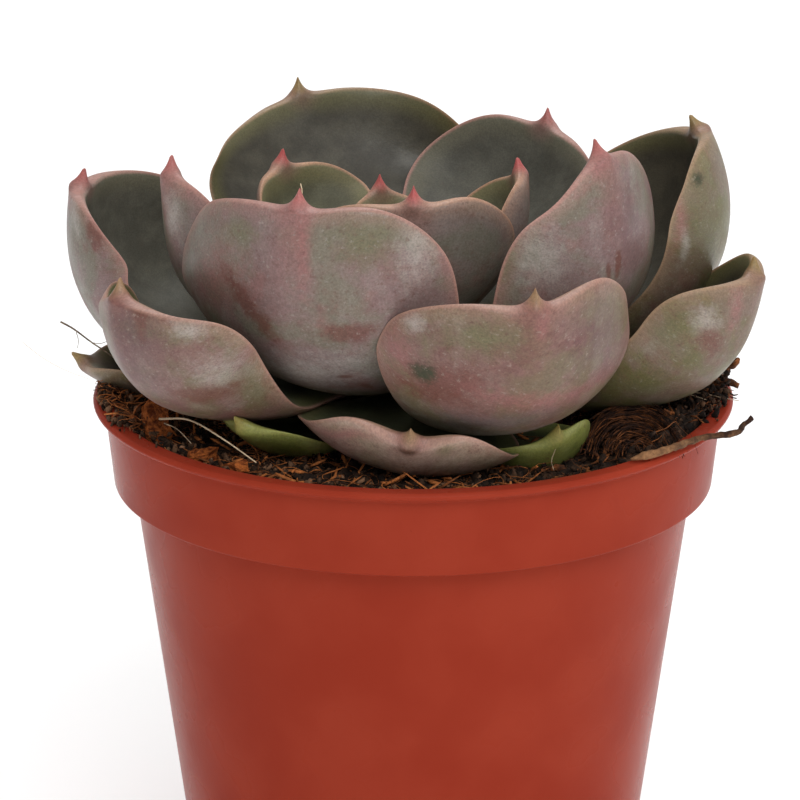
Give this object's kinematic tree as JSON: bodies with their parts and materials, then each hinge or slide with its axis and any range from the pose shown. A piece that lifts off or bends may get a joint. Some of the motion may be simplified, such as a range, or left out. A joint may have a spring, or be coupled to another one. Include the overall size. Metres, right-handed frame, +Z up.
{
  "type": "potted succulent",
  "caption": "Rosette succulent with cupped, fleshy, pointed leaves on a short stem, in a small round plastic nursery pot of peat and bark that stands on its flat base.",
  "frame": {"origin": "centre of the pot's flat underside", "axes": "+Z up along the pot's axis; -Y faces the pictured side, +X to its right"},
  "size_m": [0.0593, 0.0569, 0.0755],
  "materials": {
    "pot": "satin",
    "soil": "matte",
    "stem": "matte",
    "leaf": "satin",
    "green_leaf": "satin",
    "bark": "matte",
    "root": "matte"
  },
  "bodies": {
    "root": {"pot": "pot", "soil": "soil", "stem": "stem", "leaf_01": "green_leaf", "leaf_02": "green_leaf", "leaf_03": "green_leaf", "leaf_04": "green_leaf", "leaf_05": "green_leaf", "leaf_06": "leaf", "leaf_07": "leaf", "leaf_08": "leaf", "leaf_09": "leaf", "leaf_10": "leaf", "leaf_11": "leaf", "leaf_12": "leaf", "leaf_13": "leaf", "leaf_14": "leaf", "leaf_15": "leaf", "leaf_16": "leaf", "leaf_17": "leaf", "leaf_18": "leaf", "leaf_19": "leaf", "leaf_20": "leaf", "leaf_21": "leaf", "leaf_22": "leaf", "leaf_23": "leaf", "central_bud": "green_leaf", "bark_chip_1": "bark", "bark_chip_2": "bark", "bark_chip_3": "bark", "bark_chip_4": "bark", "bark_chip_5": "bark", "dry_root": "root"}
  },
  "joints": []
}
